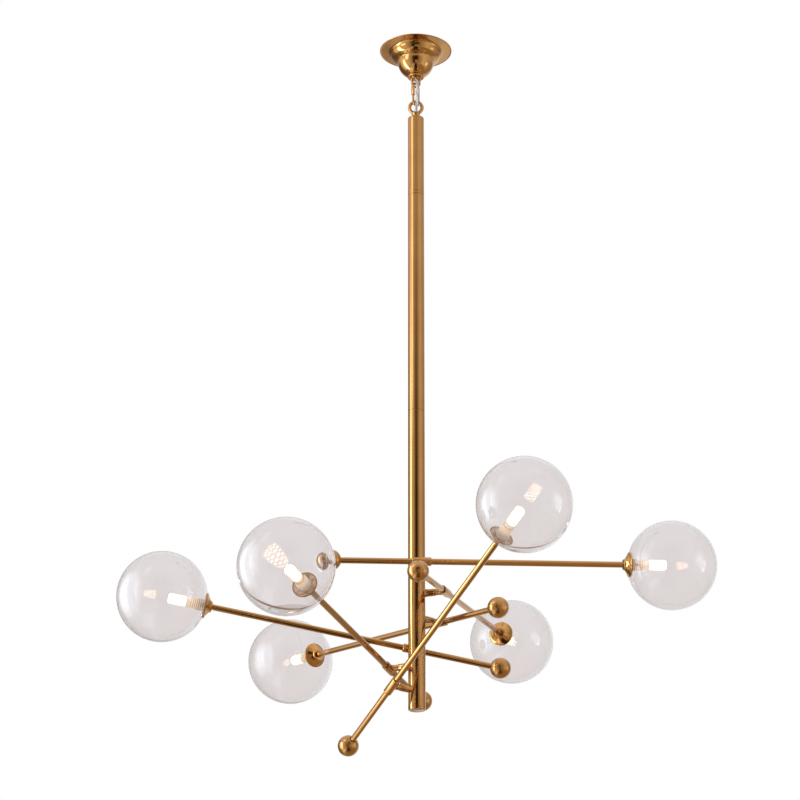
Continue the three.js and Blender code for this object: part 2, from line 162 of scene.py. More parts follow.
def reckon(add, operation, *values):
    """One sum over values that may differ from place to place on the surface."""
    inputs = {f"i{i}": value for i, value in enumerate(values)}
    return add("Math", {"operation": operation}, **inputs).outputs[0]


def relief(add, height, strength, depth):
    """Fine relief in the surface, such as scratches, rings or waves."""
    return add("Bump", Strength=strength, Distance=depth, Height=height).outputs["Normal"]


def new_finish(name, colour, **sockets):
    """A material with constant values on its shader, and short ways to add and join nodes."""
    material = bpy.data.materials.new(name)
    material.use_nodes = True
    tree = material.node_tree
    shader = tree.nodes["Principled BSDF"]
    shader.inputs["Base Color"].default_value = (*colour, 1)
    for socket, value in sockets.items():
        shader.inputs[socket.replace("_", " ")].default_value = value

    def join(output, socket):
        tree.links.new(output, shader.inputs[socket])

    return material, node_adder(tree), join


def colour_band(add, factor, *stops):
    """A colour ramp between (place, colour) stops."""
    ramp = add("ValToRGB", Fac=factor)
    while len(ramp.color_ramp.elements) < len(stops):
        ramp.color_ramp.elements.new(0.5)
    for element, (place, colour) in zip(ramp.color_ramp.elements, stops):
        element.position = place
        element.color = (*colour, 1)
    return ramp.outputs["Color"]


clear_sheath, add, join = new_finish(
    "clear_sheath", (0.6, 0.6, 0.61), Roughness=0.22, IOR=1.5, Coat_Weight=0.5
)
along = add("SeparateXYZ", Vector=add("UVMap", {"uv_map": "along"}).outputs["UV"])
turn = reckon(add, "MULTIPLY", along.outputs["X"], 2 * math.pi * strands)
lay = reckon(add, "MULTIPLY_ADD", along.outputs["Y"], twist_per_metre, turn)
streak = add("TexNoise", Vector=add("TexCoord").outputs["Object"], Scale=420.0, Detail=3.0)
strand = reckon(add, "MULTIPLY_ADD", streak.outputs["Fac"], 0.9, reckon(add, "SINE", lay))
sheath_tones = ((0.0, (0.42, 0.42, 0.44)), (0.35, (0.58, 0.58, 0.6)), (0.9, (0.74, 0.74, 0.75)))
join(colour_band(add, strand, *sheath_tones), "Base Color")
join(relief(add, strand, strength=0.35, depth=0.0004), "Normal")

cable_line = flowing_line(cable_points, 10)
split = min(range(len(cable_line)), key=lambda i: abs(cable_line[i].z - split_height))
halves = (
    ("supply_cable_top", cable_line[: split + 1], "ceiling_gear", "link", -58, -88),
    ("supply_cable_tail", cable_line[split:], "link", "column", -92, -122),
)
for name, line, upper_body, lower_body, start, end in halves:
    cable = bent_wire(name, line, cable_radius, clear_sheath)
    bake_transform(cable)
    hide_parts("supply_cable")

# Ceiling crossbar
# A stamped steel bar with round ends, zinc plated. Two screws through its slots hold it to the
# ceiling, and the threaded stem goes up through its middle hole. The canopy hides it.
zinc_steel, add, join = new_finish("zinc_steel", (0.55, 0.56, 0.57), Metallic=1.0, Roughness=0.42)
spangle = add("TexVoronoi", Vector=add("TexCoord").outputs["Object"], Scale=260.0)
spangle_tones = ((0.0, (0.42, 0.43, 0.45)), (1.0, (0.66, 0.67, 0.68)))
join(colour_band(add, spangle.outputs["Color"], *spangle_tones), "Base Color")
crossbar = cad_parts["mounting_crossbar"]
crossbar.data.materials.clear()
crossbar.data.materials.append(zinc_steel)

# Canopy
# Spun from one brass disc: a flat flange with a rolled edge against the ceiling, a shallow cup
# with a soft cove, a fine step, and a half-round dome. It is polished and lacquered.
shell_wall, stem_hole = 1.2, 5.4
dome_centre, dome_radius, dome_foot = -21.8, 32.5, -51.587
foot_angle = math.degrees(math.asin((dome_foot - dome_centre) / dome_radius))


def eased(outline, steps=4):
    """Corners with a third number are rounded off by that many millimetres on each side."""
    most_of_a_side = 0.49
    made = []
    for i, corner in enumerate(outline):
        here = Vector(corner[:2])
        if len(corner) == 2 or not 0 < i < len(outline) - 1:
            made.append(tuple(here))
            continue
        before, after = Vector(outline[i - 1][:2]), Vector(outline[i + 1][:2])
        back = min(corner[2], most_of_a_side * (before - here).length)
        on = min(corner[2], most_of_a_side * (after - here).length)
        a = here + back * (before - here).normalized()
        b = here + on * (after - here).normalized()
        for step in range(steps + 1):
            t = step / steps
            made.append(tuple((1 - t) ** 2 * a + 2 * t * (1 - t) * here + t**2 * b))
    return made


def round_bend(radius, height, size, start, end, steps):
    """Points of an arc in an outline, about (radius, height), from one angle to another."""
    angles = [math.radians(start + (end - start) * i / steps) for i in range(steps + 1)]
    return [(radius + size * math.cos(a), height + size * math.sin(a)) for a in angles]


def turned(name, outline, finish, sides=96, axis="Z", ring=False):
    """A solid turned about an axis from (radius, height) points in millimetres."""
    corners, rows = [], []
    for radius, height in outline:
        if radius < 1e-6:
            rows.append([len(corners)])
            corners.append((0, 0, height * mm))
            continue
        rows.append(list(range(len(corners), len(corners) + sides)))
        for s in range(sides):
            angle = 2 * math.pi * s / sides
            corners.append((radius * math.cos(angle) * mm, radius * math.sin(angle) * mm, height * mm))
    faces = []
    for low, high in zip(rows, rows[1:] + rows[:1] if ring else rows[1:]):
        for s in range(sides):
            t = (s + 1) % sides
            face = [low[s % len(low)], low[t % len(low)], high[t % len(high)], high[s % len(high)]]
            face = list(dict.fromkeys(face))
            if len(face) > 2:
                faces.append(face)
    if axis == "X":
        corners = [(z, x, y) for x, y, z in corners]
    if axis == "Y":
        corners = [(y, z, x) for x, y, z in corners]
    return new_piece(name, corners, faces, finish)


def polished_brass(name, across="Z", spin=900.0):
    """Polished brass with the fine rings that spinning or turning leaves."""
    material, add, join = new_finish(
        name, (0.56, 0.285, 0.085), Metallic=1.0, Roughness=0.12, Coat_Weight=0.3, Coat_Roughness=0.05
    )
    place = add("TexCoord").outputs["Object"]
    cloud = add("TexNoise", Vector=place, Scale=38.0, Detail=4.0).outputs["Fac"]
    tones = ((0.3, (0.52, 0.26, 0.075)), (0.7, (0.6, 0.31, 0.095)))
    join(colour_band(add, cloud, *tones), "Base Color")
    dullness = add("MapRange", Value=cloud, To_Min=0.05, To_Max=0.11)
    join(dullness.outputs[0], "Roughness")
    ring_wave = {"wave_type": "RINGS", "rings_direction": across}
    rings = add("TexWave", ring_wave, Vector=place, Scale=spin, Distortion=0.6)
    join(relief(add, rings.outputs["Fac"], strength=0.03, depth=0.0002), "Normal")
    return material


spun_brass = polished_brass("spun_brass")
canopy_face = (
    [(63.6, 0)]
    + round_bend(63.5, -0.9, 0.9, 80, -100, 10)
    + eased(
        [
            (62.9, -1.6), (62.2, -1.25, 0.4), (47.4, -3.3, 2.4), (45.4, -6.6, 1.6), (44.9, -10.5, 3),
            (41.6, -16.2, 3), (35.2, -20.4, 1.0), (33.6, -20.95, 0.5), (32.9, -21.25),
        ],
        6,
    )
    + round_bend(0, dome_centre, dome_radius, 0, foot_angle, 40)
    + [(stem_hole, dome_foot)]
)
canopy_back = (
    [(stem_hole, -50.4), (13, -50.4)]
    + round_bend(0, dome_centre, dome_radius - shell_wall, foot_angle, 0, 24)
    + [(33.4, -20.2), (40.8, -15.2), (43.6, -10), (44, -6.2), (46.2, -2.3), (62.4, -0.3), (63, 0)]
)
canopy = turned("canopy_shell", canopy_face + canopy_back, spun_brass, 160, ring=True)
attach(canopy, "ceiling_gear")
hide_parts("canopy")

# Screw collar
# A turned brass nut, 29 mm across, with eased edges and a hollow underside. It runs on the
# threaded stem and pulls the canopy up against the ceiling.
collar_top = -51.887
collar_bottom = collar_top - 2.9
collar_bore, collar_radius, hollow_depth = 5.3, 14.5, 1.5
collar = turned(
    "collar",
    eased(
        [
            (collar_bore, collar_top), (13.9, collar_top, 0.5), (collar_radius, collar_top - 0.6, 0.4),
            (collar_radius, collar_bottom + 0.5, 0.4), (14, collar_bottom, 0.4),
            (12.5, collar_bottom, 0.4), (12.1, collar_bottom + hollow_depth, 0.3),
            (9.6, collar_bottom + hollow_depth, 0.3), (9.2, collar_bottom, 0.4),
            (collar_bore, collar_bottom),
        ]
    ),
    polished_brass("turned_brass", spin=1400.0),
    120,
    ring=True,
)
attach(collar, "ceiling_gear")
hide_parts("screw_collar")

# Hanging loop
# A hollow threaded stem with a round boss, and a narrow bail of 4.4 mm brass wire brazed under
# it. The cable comes down through the stem's bore between the two legs of the bail.
boss_top, boss_bottom, boss_radius = -55.087, -57.287, 9.2
stem_bore, stem_top = 3.1, -0.4
thread_crest, thread_root, thread_step, thread_rows = 5, 4.65, 0.5, 107
bail_half_width, bail_end, bail_radius = 6.5, -72.587, 2.2
leg_heights = (-56.2, -58, -60, -62, -64)


def joined(name, *pieces):
    """Several meshes as one piece."""
    bpy.ops.object.select_all(action="DESELECT")
    for piece in pieces:
        piece.select_set(True)
    bpy.context.view_layer.objects.active = pieces[0]
    bpy.ops.object.join()
    pieces[0].name = name
    pieces[0].data.name = name
    return pieces[0]


def upright(outline):
    """Points (across, height) in millimetres as places for a wire that stands upright."""
    return [Vector((across, 0, height)) * mm for across, height in outline]


wire_brass = polished_brass("wire_brass", spin=300.0)
boss = eased(
    [
        (stem_bore, boss_bottom), (8.6, boss_bottom, 0.5), (boss_radius, boss_bottom + 0.6, 0.4),
        (boss_radius, boss_top - 0.5, 0.4), (8.8, boss_top, 0.3), (thread_crest, boss_top),
    ]
)
thread = [
    (thread_crest if k % 2 else thread_root, boss_top + thread_step * k)
    for k in range(1, thread_rows + 1)
]
stem_end = [(4.6, stem_top), (stem_bore, stem_top)]
stem = turned("stem", boss + thread + stem_end, wire_brass, 64, ring=True)
bail_line = upright(
    [(-bail_half_width, height) for height in leg_heights]
    + round_bend(0, bail_end + bail_half_width, bail_half_width, 180, 360, 32)
    + [(bail_half_width, height) for height in reversed(leg_heights)]
)
bail = bent_wire("bail", bail_line, bail_radius * mm, wire_brass)
braze = []
for across in (-bail_half_width, bail_half_width):
    bead = turned(
        "braze",
        eased([(0, -56.6), (3.3, -56.6), (3.1, -57.6, 0.5), (2.25, -58.9), (0, -58.9)]),
        wire_brass,
        32,
    )
    bead.location.x = across * mm
    braze.append(bead)
loop = joined("hanging_bail", stem, bail, *braze)
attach(loop, "ceiling_gear")
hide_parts("hanging_loop")

# Quick link
# An oval of 4.2 mm round brass wire, 47 mm tall, that joins the bail to the column's eye. A
# hexagon sleeve nut runs on the threads of its near arm and closes it.
link_turn = math.radians(90 - 36)
link_top, link_bottom = -64.587, -111.887
link_radius, link_half_width = 2.1, 8.2
link_middle = (link_top + link_bottom) / 2
bend_rise = (link_top - link_bottom) / 2 - link_radius - link_half_width


def link_spot(across, height, out=0):
    """A place on the link, which is turned about the plumb line, from sizes in its own plane."""
    return Matrix.Rotation(link_turn, 3, "Z") @ Vector((across, out, height)) * mm


link_line = []
for side, start, arm_rows in ((-1, 0, 34), (1, 180, 8)):
    bend_height = link_middle - side * bend_rise
    bend = round_bend(0, bend_height, link_half_width, start, start + 180, 28)
    arm = [
        (side * link_half_width, bend_height + side * 2 * bend_rise * k / arm_rows)
        for k in range(1, arm_rows)
    ]
    link_line += [link_spot(across, height) for across, height in bend + arm]
link = bent_wire("link_oval", link_line, link_radius * mm, wire_brass, closed=True)
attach(link, "link")
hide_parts("quick_link")

nut_middle, nut_half, nut_edge = link_middle + 4, 8.25, 0.5
nut_bore, nut_face, nut_flats, nut_sides = 2.3, 3.1, 6.4, 24
nut_corner = nut_flats / 2 / math.cos(math.pi / 6)
nut_rows = [
    (nut_bore, -nut_half), (nut_face, -nut_half), (nut_corner, -nut_half + nut_edge),
    (nut_corner, nut_half - nut_edge), (nut_face, nut_half), (nut_bore, nut_half),
]
corners, faces = [], []
for i, (radius, height) in enumerate(nut_rows):
    j = (i + 1) % len(nut_rows)
    for s in range(nut_sides):
        angle = 2 * math.pi * s / nut_sides
        flat = nut_flats / 2 / math.cos((angle + math.pi / 6) % (math.pi / 3) - math.pi / 6)
        reach = min(radius, flat) if radius > nut_face else radius
        across = -link_half_width + reach * math.cos(angle)
        corners.append(link_spot(across, nut_middle + height, reach * math.sin(angle)))
        t = (s + 1) % nut_sides
        faces.append((i * nut_sides + s, i * nut_sides + t, j * nut_sides + t, j * nut_sides + s))
nut = new_piece("sleeve_nut", corners, faces, wire_brass)
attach(nut, "link")
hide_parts("link_nut")

# Column eye
# A cast brass ring on a short neck with a shallow cap. Its spigot is screwed into the top of the
# column, and its bore takes the cable.
eye_centre, eye_ring, eye_wire = -114.287, 11.1, 3.08
cap_top, cap_bottom = -134.987, -137.387
column_radius, spigot_radius, spigot_length = 14.25, 12.7, 13.9
ring_line = upright(round_bend(0, eye_centre, eye_ring, 0, 360, 64)[:-1])
ring = bent_wire("ring", ring_line, eye_wire * mm, wire_brass, closed=True)
neck_and_cap = eased(
    [
        (4.2, eye_centre - 9.2), (7.0, -125.6, 1.2), (7.8, -127.4, 0.8), (6.2, -129.2, 1),
        (6.0, -132.6, 1.4), (7.8, -134.6, 0.8), (12.9, cap_top - 0.4, 1.2),
        (column_radius, cap_bottom + 0.7, 0.6), (column_radius, cap_bottom, 0.2),
    ]
)
spigot_end = cap_bottom - spigot_length
neck = turned(
    "neck",
    [(3.0, eye_centre - 8.6)]
    + neck_and_cap
    + [(spigot_radius, cap_bottom), (spigot_radius, spigot_end), (3.1, spigot_end)],
    wire_brass,
    96,
    ring=True,
)
eye = joined("eye_and_neck", ring, neck)
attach(eye, "column")
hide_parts("column_eye")

# Column
# Three drawn brass tubes, 28.5 mm across, screwed together with spigots, and a flat plug with a
# rounded edge in the foot. They are brushed along their length, satin, and lacquered.
column_bore, spigot_bore = 13.0, 11.45
liner_depth, liner_slope = 28, 1.2
joint_gap = 0.3
column_top, upper_end, middle_end, foot = -137.687, -288.687, -693.687, -1209.187


def satin_brass(name, grain, smoothest=0.1, roughest=0.19):
    """Brass brushed along one axis: the grain is long that way and fine across it."""
    material, add, join = new_finish(
        name, (0.5, 0.24, 0.068), Metallic=1.0, Roughness=0.15, Coat_Weight=0.4, Coat_Roughness=0.1
    )
    place = add("TexCoord").outputs["Object"]
    stretched = add("Mapping", Vector=place, Scale=grain).outputs[0]
    brushed = add("TexNoise", Vector=stretched, Scale=1.0, Detail=5.0).outputs["Fac"]
    cloud = add("TexNoise", Vector=place, Scale=22.0, Detail=3.0).outputs["Fac"]
    both = reckon(add, "MULTIPLY_ADD", cloud, 0.5, reckon(add, "MULTIPLY", brushed, 0.5))
    tones = ((0.35, (0.46, 0.22, 0.06)), (0.65, (0.54, 0.27, 0.08)))
    join(colour_band(add, both, *tones), "Base Color")
    dullness = add("MapRange", Value=brushed, To_Min=smoothest, To_Max=roughest)
    join(dullness.outputs[0], "Roughness")
    join(relief(add, brushed, strength=0.006, depth=0.0003), "Normal")
    return material


tube_brass = satin_brass("tube_brass", (700, 700, 7))


def column_tube(node, top, bottom, groove=None, spigot=True):
    """A tube of the column, open at both ends, with small eased edges and its spigot below.
    A ring of points beside each edge keeps the long side straight in the light."""
    lip, beside = 0.35, 0.9
    outside = [(column_radius, bottom, lip), (column_radius, bottom + beside)]
    if groove:
        outside += [
            (column_radius, groove - beside), (column_radius, groove - lip, 0.1),
            (column_radius - lip, groove, 0.1),
            (column_radius, groove + lip, 0.1), (column_radius, groove + beside),
        ]
    outside += [(column_radius, top - beside), (column_radius, top, lip), (column_bore, top, 0.2)]
    if spigot:
        corner = (spigot_radius, bottom)
        inside = [
            (column_bore, top - liner_depth), (spigot_bore, top - liner_depth - liner_slope),
            (spigot_bore, bottom - spigot_length), (spigot_radius, bottom - spigot_length, 0.3),
        ]
    else:
        corner = (column_bore, bottom)
        inside = []
    skin = eased([corner] + outside + inside + [corner])[:-1]
    piece = turned(node + "_skin", skin, tube_brass, 96, ring=True)
    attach(piece, "column")
    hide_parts(node)


column_tube("tube_upper", column_top, upper_end, groove=upper_end + 5.2)
column_tube("tube_middle", upper_end - joint_gap, middle_end)
column_tube("tube_lower", middle_end - joint_gap, foot, spigot=False)

plug_edge = 1.3
plug_top = foot - joint_gap
plug_bottom = plug_top - 4.6
spigot_top = plug_top + spigot_length
plug_groove = [
    (10.9, plug_bottom), (11.2, plug_bottom + 0.15, 0.1), (11.6, plug_bottom + 0.15, 0.1),
    (11.9, plug_bottom),
]
plug = turned(
    "foot_plug",
    [(0, plug_bottom)]
    + eased(plug_groove)
    + round_bend(column_radius - plug_edge, plug_bottom + plug_edge, plug_edge, -90, 0, 8)
    + [(column_radius, plug_top), (spigot_radius, plug_top), (spigot_radius, spigot_top), (0, spigot_top)],
    satin_brass("plug_brass", (240, 240, 240)),
    96,
)
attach(plug, "column")
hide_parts("end_cap")

# Stubs
# Six short brass studs, coped to the column and brazed to it, 60 degrees apart on a climbing
# spiral. Each takes the pivot of a knuckle in its end, which shows as a fine groove.
arms = range(1, 7)
arm_turns = [8.9, 72.5, 128.1, 188.2, 248.5, 303.4]
lowest_rise, arm_rise = 29, 40.9
stub_start, stub_end = 9.2, 32.4
stub_cope, cope_start, cope_end, peg_radius = 14.2, 12.9, 16.5, 5
pivot_bore, pivot_depth, wire_bore = 3.9, 22, 2.2
stub_brass = satin_brass("stub_brass", (500, 25, 500))


def station(number):
    """Where a stub stands on the column: X along its rod, -Y out along the stub."""
    height = (foot + lowest_rise + arm_rise * (6 - number)) * mm
    turn = Matrix.Rotation(math.radians(arm_turns[number - 1]), 4, "Z")
    return Matrix.Translation((0, 0, height)) @ turn


def coped(out, aside, radius):
    """How far out a point of a flat end comes to lie on a round bar of that radius."""
    return out - radius + math.sqrt(max(0.0, radius**2 - aside**2))


stub_outline = (
    [(4, stub_start), (4, 13.2), (7.0, 13.2)]
    + eased(
        [
            (7.0, 14.6), (6.6, 15.4, 0.5), (6.5, 16.4, 0.3), (6.0, 30.6), (5.75, 30.9, 0.1),
            (5.75, 31.3, 0.1), (5.95, 31.6, 0.1), (5.9, stub_end, 0.4), (pivot_bore, stub_end),
        ]
    )
    + [(pivot_bore, pivot_depth), (wire_bore, pivot_depth), (wire_bore, stub_start)]
)
for number in arms:
    stub = turned(f"stud_{number}", stub_outline, stub_brass, 64, axis="Y", ring=True)
    for corner in stub.data.vertices:
        x, y, z = corner.co
        if cope_start * mm < y < cope_end * mm and math.hypot(x, z) > peg_radius * mm:
            y = coped(y, x, stub_cope * mm)
        corner.co.y = -y
    stub.data.flip_normals()
    stub.matrix_world = station(number)
    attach(stub, "column")
    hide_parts(f"stub_{number}")

# Knuckles
# The tilting half of each joint, in satin brass: a turned neck whose pivot sits in the stub, and
# a sleeve across it with chamfered ends that grips the rod. The neck is bored for the wires.
arm_tilts = [1.9, 3.7, 3.3, 10.0, 7.2, 29.0]
rod_reach = 48.6
sleeve_radius, sleeve_groove, sleeve_bore = 7.15, 6.95, 5.3
pivot_radius, pivot_end = 3.6, 25.8
neck_start, neck_cope, neck_cope_end = 6.3, 7.1, 8.3
knuckle_brass = satin_brass("knuckle_brass", (60, 420, 420))


def arm_place(number):
    """Where an arm lies: its origin in the knuckle, X along the rod towards the globe."""
    tilt = Matrix.Rotation(-math.radians(arm_tilts[number - 1]), 4, "Y")
    return station(number) @ Matrix.Translation((0, -rod_reach * mm, 0)) @ tilt


def hung_on_arm(piece, number, node):
    """Puts a piece on its tilted arm."""
    piece.matrix_world = arm_place(number)
    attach(piece, f"arm_{number}")
    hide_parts(f"{node}_{number}")


sleeve_end = [
    (sleeve_bore, 16.2), (6.3, 16.25, 0.2), (sleeve_radius, 15.4, 0.3),
    (sleeve_radius, 13.4, 0.2), (sleeve_groove, 13.2, 0.1),
    (sleeve_groove, 12.9, 0.1), (sleeve_radius, 12.7, 0.2),
]
sleeve_outline = eased([(r, -x, *ease) for r, x, *ease in sleeve_end] + sleeve_end[::-1])
neck_outline = (
    [(pivot_radius, neck_start), (6.3, neck_start)]
    + eased(
        [
            (6.3, 7.2), (5.3, 8.2, 1.2), (5.2, 11, 0.2), (5.2, 15.5, 0.4), (4.8, 15.9, 0.2),
            (pivot_radius, 15.9),
        ]
    )
    + [(pivot_radius, pivot_end), (wire_bore, pivot_end), (wire_bore, neck_start)]
)
for number in arms:
    sleeve = turned("sleeve", sleeve_outline, knuckle_brass, 64, axis="X", ring=True)
    neck = turned("neck", neck_outline, knuckle_brass, 48, axis="Y", ring=True)
    for corner in neck.data.vertices:
        x, y, z = corner.co
        if y < neck_cope_end * mm:
            corner.co.y = coped(y, z, neck_cope * mm)
    knuckle = joined(f"tee_{number}", sleeve, neck)
    hung_on_arm(knuckle, number, "knuckle")

# Rods
# Straight drawn brass tube, 10 mm across, about half a metre long, brushed along its length. It
# is pushed through the sleeve and carries the wires from the knuckle to the lamp.
rod_start, rod_end = -138.8, 343.7
rod_radius, rod_bore = 5, 3.8
rod_brass = satin_brass("rod_brass", (7, 800, 800))
rod_outline = eased(
    [
        (rod_bore, rod_start), (4.8, rod_start, 0.2), (rod_radius, rod_start + 0.3, 0.1),
        (rod_radius, rod_start + 1), (rod_radius, rod_end - 1),
        (rod_radius, rod_end - 0.3, 0.1), (4.8, rod_end, 0.2), (rod_bore, rod_end),
    ]
)
for number in arms:
    rod = turned(f"branch_{number}", rod_outline, rod_brass, 48, axis="X", ring=True)
    hung_on_arm(rod, number, "rod")

# Balls
# Solid turned brass, 35 mm across, pressed on the short end of each rod as its counterweight.
# They have a satin polish, and a small countersunk mouth where the rod goes in.
ball_radius, ball_middle = 17.5, -150.4
ball_bore, bore_end, mouth_radius = 5.3, 10.8, 6.2
mouth_angle = math.degrees(math.acos(mouth_radius / ball_radius))
ball_brass = satin_brass("ball_brass", (180, 60, 60), smoothest=0.22, roughest=0.32)
ball_outline = (
    [(0, ball_middle - ball_radius)]
    + round_bend(0, ball_middle, ball_radius, -88, mouth_angle, 60)
    + [(5.7, ball_middle + 16.2), (ball_bore, ball_middle + 15.8), (ball_bore, ball_middle + bore_end),
       (0, ball_middle + bore_end)]
)
for number in arms:
    ball = turned(f"counterweight_{number}", ball_outline, ball_brass, 80, axis="X")
    hung_on_arm(ball, number, "ball")

# Socket cups
# A spun brass cup on the long end of each rod, flared from a short neck to a rolled lip that the
# glass seats on. It is polished as the canopy is, and its dish is lined with a pale seal that
# glows faintly with painted lamp light.
cup_back, cup_face = 340.0, 351.788
cup_bore, lip_radius, seal_radius = 5.3, 21.3, 19.6
cup_brass = polished_brass("cup_brass", across="X", spin=1200.0)
# The pale seal also glows with painted lamp light: its emission strength here and its emission tones below.
pale_seal, add, join = new_finish(
    "pale_seal", (0.86, 0.7, 0.5), Roughness=0.3, Coat_Weight=0.4, Emission_Strength=0.5
)
mottle = add("TexNoise", Vector=add("TexCoord").outputs["Object"], Scale=170.0, Detail=3.0)
seal_tones = ((0.38, (0.6, 0.36, 0.15)), (0.58, (0.96, 0.84, 0.66)))
join(colour_band(add, mottle.outputs["Fac"], *seal_tones), "Base Color")
seal_painted_lamp_glow = ((0.38, (0.1, 0.05, 0.015)), (0.6, (0.34, 0.26, 0.17)))
join(colour_band(add, mottle.outputs["Fac"], *seal_painted_lamp_glow), "Emission Color")
cup_outline = eased(
    [
        (cup_bore, cup_back), (8.3, cup_back, 0.5), (9.2, cup_back + 0.8, 0.5),
        (9.3, cup_back + 2.4, 1.0), (12.6, cup_back + 5.2, 2.2), (17.8, cup_back + 8.4, 1.8),
        (20.6, cup_back + 9.6, 0.6), (lip_radius, cup_back + 10.3, 0.5), (lip_radius, cup_face, 0.5),
        (20.7, cup_face - 0.2, 0.2), (18.7, 351.0, 0.3), (13, 346, 2), (9.2, rod_end, 0.4),
        (cup_bore, rod_end),
    ]
)
for number in arms:
    cup = turned(f"socket_bell_{number}", cup_outline, cup_brass, 96, axis="X", ring=True)
    cup.data.materials.append(pale_seal)
    for face in cup.data.polygons:
        if face.normal.x > 0.25 and math.hypot(face.center.y, face.center.z) < seal_radius * mm:
            face.material_index = 1
    hung_on_arm(cup, number, "socket_cup")

# Lamp holders
# Glazed white ceramic, turned with rounded threads that the globe's mouth screws past. Brown is
# painted between the threads as a reflection of the brass around it, and the ceramic glows warm
# towards the lamp with painted lamp light.
holder_back, shell_end, nose_end = 344.0, 367.0, 375.7
holder_radius, nose_radius = 10.4, 9.2
ridge_middle, ridge_height, ridge_pitch = 10.0, 0.55, 3.3
ridge_start, ridge_step, ridge_points = 354, 0.3, 43
holder_white, add, join = new_finish(
    "holder_white", (0.8, 0.78, 0.74), Roughness=0.18, IOR=1.5, Coat_Weight=0.6
)


def soft_step(add, value, start, end, before, after):
    """A value that goes over softly from one number to another between two places."""
    settings = {"interpolation_type": "SMOOTHSTEP"}
    ramp = add("MapRange", settings, Value=value, From_Min=start, From_Max=end, To_Min=before, To_Max=after)
    return ramp.outputs[0]


place = add("SeparateXYZ", Vector=add("TexCoord").outputs["Object"])
ridges = reckon(add, "MULTIPLY", place.outputs["X"], 2 * math.pi / (ridge_pitch * mm))
speckle = add("TexNoise", Vector=add("TexCoord").outputs["Object"], Scale=260.0, Detail=3.0)
shade = reckon(add, "MULTIPLY_ADD", speckle.outputs["Fac"], 0.7, reckon(add, "SINE", ridges))
# The dark brown in this band is a painted reflection of the brass around the holder, between the threads.
glaze_and_painted_reflection = ((0.0, (0.42, 0.25, 0.12)), (0.3, (0.76, 0.62, 0.46)), (0.55, (0.88, 0.84, 0.76)))
join(colour_band(add, shade, *glaze_and_painted_reflection), "Base Color")
# Painted lamp light: the ceramic glows warm towards the lamp, most of all at its nose.
warm = soft_step(add, place.outputs["X"], start=0.353, end=0.377, before=0.02, after=0.5)
join(warm, "Emission Strength")
painted_lamp_glow_tones = ((0.0, (1.0, 0.5, 0.2)), (0.5, (1.0, 0.82, 0.58)))
join(colour_band(add, shade, *painted_lamp_glow_tones), "Emission Color")
ridge_places = [ridge_start + ridge_step * k for k in range(ridge_points)]
ridged = [
    (ridge_middle + ridge_height * math.sin(2 * math.pi * x / ridge_pitch), x) for x in ridge_places
]
holder_outline = (
    eased([(0, holder_back), (8.4, holder_back, 0.4), (holder_radius, 346.2, 0.6), (holder_radius, 353.6)])
    + ridged
    + eased([(10.2, shell_end), (nose_radius, shell_end, 0.4), (nose_radius, nose_end, 0.6), (0, nose_end)])
)
for number in arms:
    holder = turned(f"holder_{number}", holder_outline, holder_white, 64, axis="X")
    hung_on_arm(holder, number, "lamp_holder")

# Lamps
# Small capsule lamps with rows of bright dots under a clear skin, lit warm white. Each stands on
# a short white base that plugs into the holder.
lamp_base, lamp_tip = 376.0, 413.5
base_radius, lamp_radius, tip_bend = 7.8, 8.4, 3.1
dot_rows, dot_pitch = 8.0, 4.2 * mm
lamp_glow, add, join = new_finish("lamp_glow", (1.0, 0.93, 0.8), Roughness=0.25)
place = add("SeparateXYZ", Vector=add("TexCoord").outputs["Object"])
around = reckon(add, "ARCTAN2", place.outputs["Y"], place.outputs["Z"])
rows = reckon(add, "SINE", reckon(add, "MULTIPLY", around, dot_rows))
steps = reckon(add, "SINE", reckon(add, "MULTIPLY", place.outputs["X"], 2 * math.pi / dot_pitch))
dots = reckon(add, "MULTIPLY", rows, steps)
dot = soft_step(add, dots, start=-0.1, end=0.5, before=3.2, after=12.0)
lit = soft_step(add, place.outputs["X"], start=0.3825, end=0.388, before=0.04, after=1.0)
rim = add("LayerWeight", Blend=0.5).outputs["Facing"]
dimmed = soft_step(add, rim, start=0.35, end=0.9, before=1.0, after=0.13)
join(reckon(add, "MULTIPLY", reckon(add, "MULTIPLY", dot, lit), dimmed), "Emission Strength")
tone = reckon(add, "MULTIPLY_ADD", rim, -0.7, dots)
warmth = ((0.0, (1.0, 0.6, 0.22)), (0.4, (1.0, 0.93, 0.78)))
join(colour_band(add, tone, *warmth), "Emission Color")
lamp_outline = (
    [(0, lamp_base)]
    + eased(
        [
            (base_radius, lamp_base), (base_radius, lamp_base + 5.6, 0.3),
            (lamp_radius, lamp_base + 6.2, 0.3), (lamp_radius, lamp_tip - 3.2),
        ]
    )
    + round_bend(lamp_radius - tip_bend, lamp_tip - tip_bend, tip_bend, 0, 88, 10)
    + [(0, lamp_tip)]
)
for number in arms:
    lamp = turned(f"capsule_{number}", lamp_outline, lamp_glow, 64, axis="X")
    hung_on_arm(lamp, number, "bulb")

# Globes
# Clear blown glass, 150 mm across with a 2.2 mm wall and one mouth, with the slight waves and few
# seeds of blown glass. The mouth goes over the holder, and the glass seats on the cup's lip.
globe_radius, globe_wall, globe_middle, globe_mouth = 75.0, 2.2, 424.0, 10.9
bore_radius = globe_radius - globe_wall
outer_end = math.degrees(math.acos(globe_mouth / globe_radius))
inner_end = math.degrees(math.acos(globe_mouth / bore_radius))
clear_glass, add, join = new_finish(
    "clear_glass", (0.865, 0.835, 0.835), Roughness=0.0, IOR=1.45, Transmission_Weight=1.0
)


def painted(material, shader):
    """Gives a material this shader as its surface."""
    surface = material.node_tree.nodes["Material Output"].inputs["Surface"]
    material.node_tree.links.new(shader, surface)


